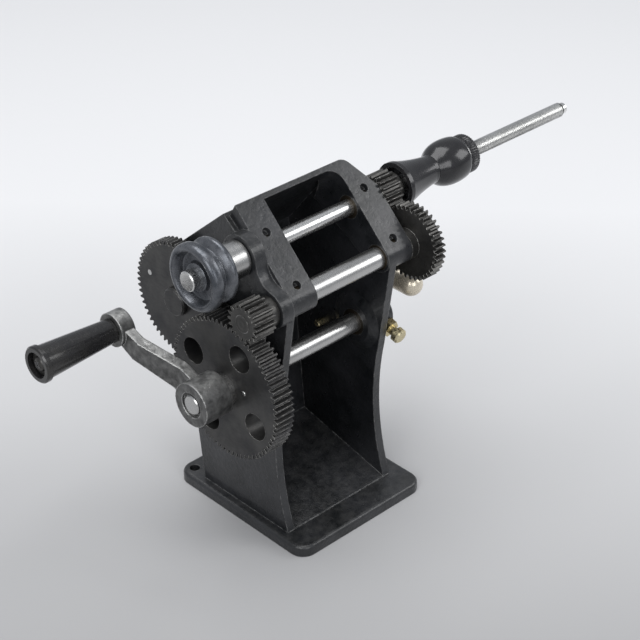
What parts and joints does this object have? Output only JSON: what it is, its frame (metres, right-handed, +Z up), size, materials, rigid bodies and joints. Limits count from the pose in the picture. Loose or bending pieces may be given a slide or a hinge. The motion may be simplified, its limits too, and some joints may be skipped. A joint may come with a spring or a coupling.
{
  "type": "hand-cranked coil winder",
  "caption": "Bench coil winder: a black iron frame with a hand crank, a two-stage gear train and a threaded winding spindle with two centring cones.",
  "frame": {"origin": "centre of the base's underside", "axes": "+X along the shafts from the crank to the threaded end, +Y to the back, +Z up"},
  "size_m": [0.3221, 0.1165, 0.1752],
  "materials": {
    "frame_paint": "semi-gloss black enamel over rough iron",
    "bronze": "plain bearing bronze",
    "gear_steel": "blackened steel, oiled",
    "pinion_steel": "cut steel, browned",
    "bright_steel": "ground bright steel",
    "pulley_blue": "blue-grey lacquer",
    "arm_casting": "rough grey casting with bright edges",
    "black_oxide": "glossy black oxide",
    "yellow_zinc": "yellow zinc plate",
    "bakelite": "polished black moulding",
    "nickel": "warm nickel plate"
  },
  "bodies": {
    "frame": {"frame_casting": "frame_paint", "spindle_bush_left": "bronze", "spindle_bush_right": "bronze", "layshaft_bush_left": "bronze", "layshaft_bush_right": "bronze", "crank_bush_left": "bronze", "crank_bush_right": "bronze", "rear_gear_stud": "bright_steel", "rear_stud_nut": "bright_steel", "side_peg": "nickel", "cheek_screw": "yellow_zinc"},
    "locating_screw": {"locating_screw": "yellow_zinc", "lock_nut": "yellow_zinc"},
    "crank": {"crank_shaft": "bright_steel", "crank_gear": "gear_steel", "slow_gear": "gear_steel", "crank_spacer": "bright_steel", "crank_arm": "arm_casting", "crank_key": "bright_steel", "grip_bolt": "bright_steel"},
    "grip": {"grip": "bakelite"},
    "layshaft": {"layshaft": "bright_steel", "left_pinion": "pinion_steel", "left_pinion_pin": "pinion_steel", "right_gear": "gear_steel", "layshaft_washer": "bright_steel", "layshaft_nut": "bright_steel"},
    "spindle": {"spindle": "bright_steel", "spindle_pinion": "pinion_steel", "spindle_pinion_pin": "pinion_steel", "pulley": "pulley_blue", "pulley_set_screw": "black_oxide", "spindle_collar": "bright_steel", "collar_set_screw": "black_oxide", "inner_cone": "black_oxide"},
    "outer_cone": {"outer_cone": "black_oxide", "clamp_washer": "bright_steel"},
    "clamp_nut": {"clamp_nut": "black_oxide"},
    "rear_gear": {"rear_gear": "gear_steel", "rear_gear_pins": "pinion_steel"}
  },
  "joints": [
    {"name": "crank_spin", "type": "hinge", "parent": "frame", "child": "crank", "pos_m": [0, -0.0095, 0.092], "axis": [1, 0, 0], "continuous": true},
    {"name": "grip_spin", "type": "hinge", "parent": "crank", "child": "grip", "pos_m": [-0.1, 0.04167, 0.11216], "axis": [1, 0, 0], "continuous": true},
    {"name": "layshaft_spin", "type": "hinge", "parent": "frame", "child": "layshaft", "pos_m": [0, -0.02341, 0.1348], "axis": [1, 0, 0], "continuous": true},
    {"name": "spindle_spin", "type": "hinge", "parent": "frame", "child": "spindle", "pos_m": [0, -0.00273, 0.15442], "axis": [1, 0, 0], "continuous": true},
    {"name": "rear_gear_spin", "type": "hinge", "parent": "frame", "child": "rear_gear", "pos_m": [-0.04365, 0.03796, 0.11444], "axis": [1, 0, 0], "continuous": true},
    {"name": "outer_cone_slide", "type": "slide", "parent": "spindle", "child": "outer_cone", "axis": [1, 0, 0], "range_m": [0, 0.025]},
    {"name": "clamp_nut_spin", "type": "hinge", "parent": "outer_cone", "child": "clamp_nut", "pos_m": [0.11, -0.00273, 0.15442], "axis": [1, 0, 0], "range_deg": [0, 7560]},
    {"name": "locating_screw_slide", "type": "slide", "parent": "frame", "child": "locating_screw", "axis": [0, -0.9659, -0.2588], "range_m": [0, 0.004]}
  ],
  "couplings": [
    {"joint": "layshaft_spin", "follows": "crank_spin", "ratio": -4},
    {"joint": "spindle_spin", "follows": "crank_spin", "ratio": 8},
    {"joint": "rear_gear_spin", "follows": "crank_spin", "ratio": -0.75},
    {"joint": "clamp_nut_spin", "follows": "outer_cone_slide", "rad_per_m": 5026.5}
  ]
}
